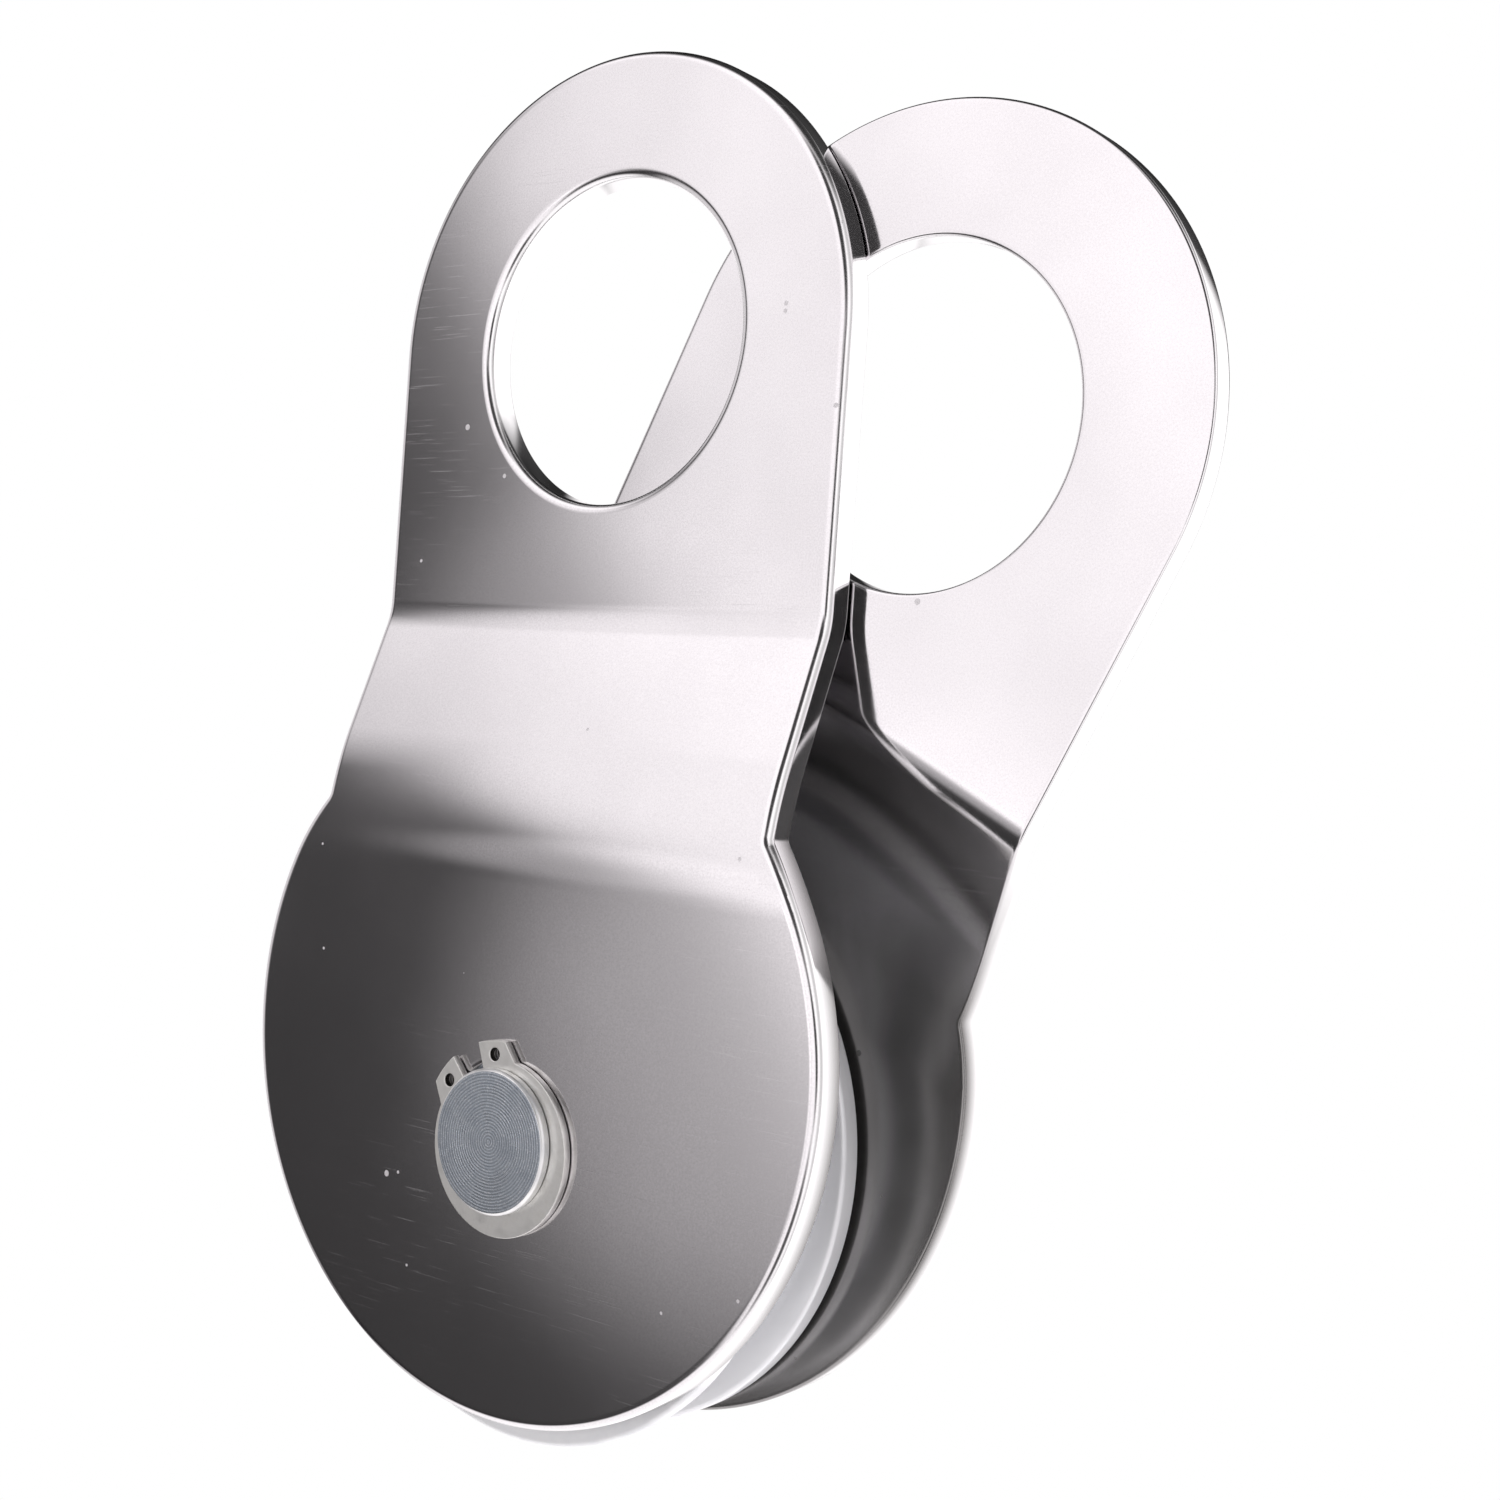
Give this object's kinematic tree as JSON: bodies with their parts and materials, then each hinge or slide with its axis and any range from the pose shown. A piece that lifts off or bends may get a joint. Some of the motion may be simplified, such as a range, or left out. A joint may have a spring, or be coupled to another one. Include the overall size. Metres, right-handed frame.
{
  "type": "snatch block",
  "caption": "Rigging snatch block: a grooved rope sheave on an axle between joggled swing cheek plates, with shackle eyes that meet when closed.",
  "frame": {"origin": "centre of the front cheek's shackle eye, on the parting plane where the two eyes meet when the block is closed", "axes": "+Z from the axle up to the shackle eye, +Y along the axle from the front cheek to the rear cheek, so the front of the block faces -Y"},
  "size_m": [0.1564, 0.0396, 0.2152],
  "materials": {
    "chrome_plate": "mirror chrome over pressed steel plate, with a slight haze",
    "sheave_steel": "smooth bright plated steel, turned",
    "turned_steel": "blue-grey zinc over turned steel, with facing rings on the ends",
    "spring_steel": "light satin spring steel",
    "washer_steel": "plain satin steel",
    "bearing_bronze": "machined bearing bronze, oiled"
  },
  "bodies": {
    "front_cheek": {"front_cheek_plate": "chrome_plate"},
    "rear_cheek": {"rear_cheek_plate": "chrome_plate"},
    "sheave_body": {"sheave": "sheave_steel", "sheave_bush": "bearing_bronze"},
    "axle": {"axle_pin": "turned_steel", "front_circlip": "spring_steel", "rear_circlip": "spring_steel", "front_thrust_washer": "washer_steel", "rear_thrust_washer": "washer_steel"}
  },
  "joints": [
    {"name": "rear_cheek_swing", "type": "hinge", "parent": "front_cheek", "child": "rear_cheek", "pos_m": [0, 0, -0.1235], "axis": [0, 1, 0], "continuous": true},
    {"name": "sheave_spin", "type": "hinge", "parent": "front_cheek", "child": "sheave_body", "pos_m": [0, 0, -0.1235], "axis": [0, 1, 0], "continuous": true},
    {"name": "axle_turn", "type": "hinge", "parent": "front_cheek", "child": "axle", "pos_m": [0, 0, -0.1235], "axis": [0, 1, 0], "continuous": true}
  ]
}
